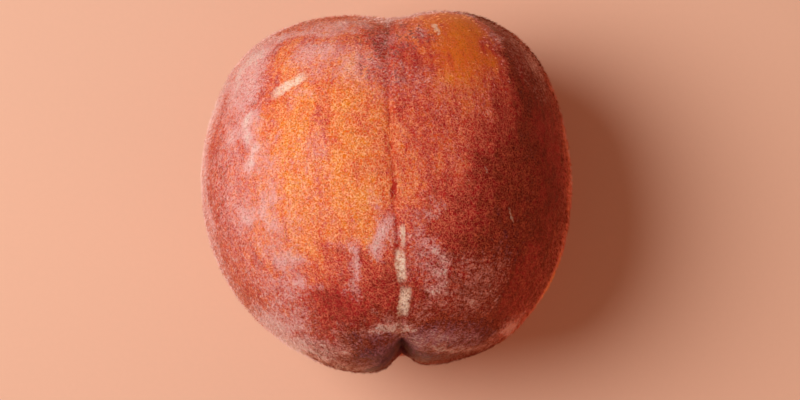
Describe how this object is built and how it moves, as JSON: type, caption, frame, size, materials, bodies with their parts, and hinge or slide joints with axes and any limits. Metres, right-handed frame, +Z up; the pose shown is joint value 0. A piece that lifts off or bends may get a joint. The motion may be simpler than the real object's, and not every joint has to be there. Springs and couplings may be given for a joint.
{
  "type": "peach",
  "caption": "Whole ripe peach lying on its back, seam up, with broad shoulders, a stem hollow and a cleft tip.",
  "frame": {"origin": "on the resting surface, under the middle of the fruit's outline", "axes": "+Z up through the seam side, +Y towards the stem end, +X towards the right cheek seen from above"},
  "size_m": [0.0752, 0.0732, 0.0699],
  "materials": {
    "peach_skin": "matt, velvety"
  },
  "bodies": {
    "root": {"peach": "peach_skin"}
  },
  "joints": []
}
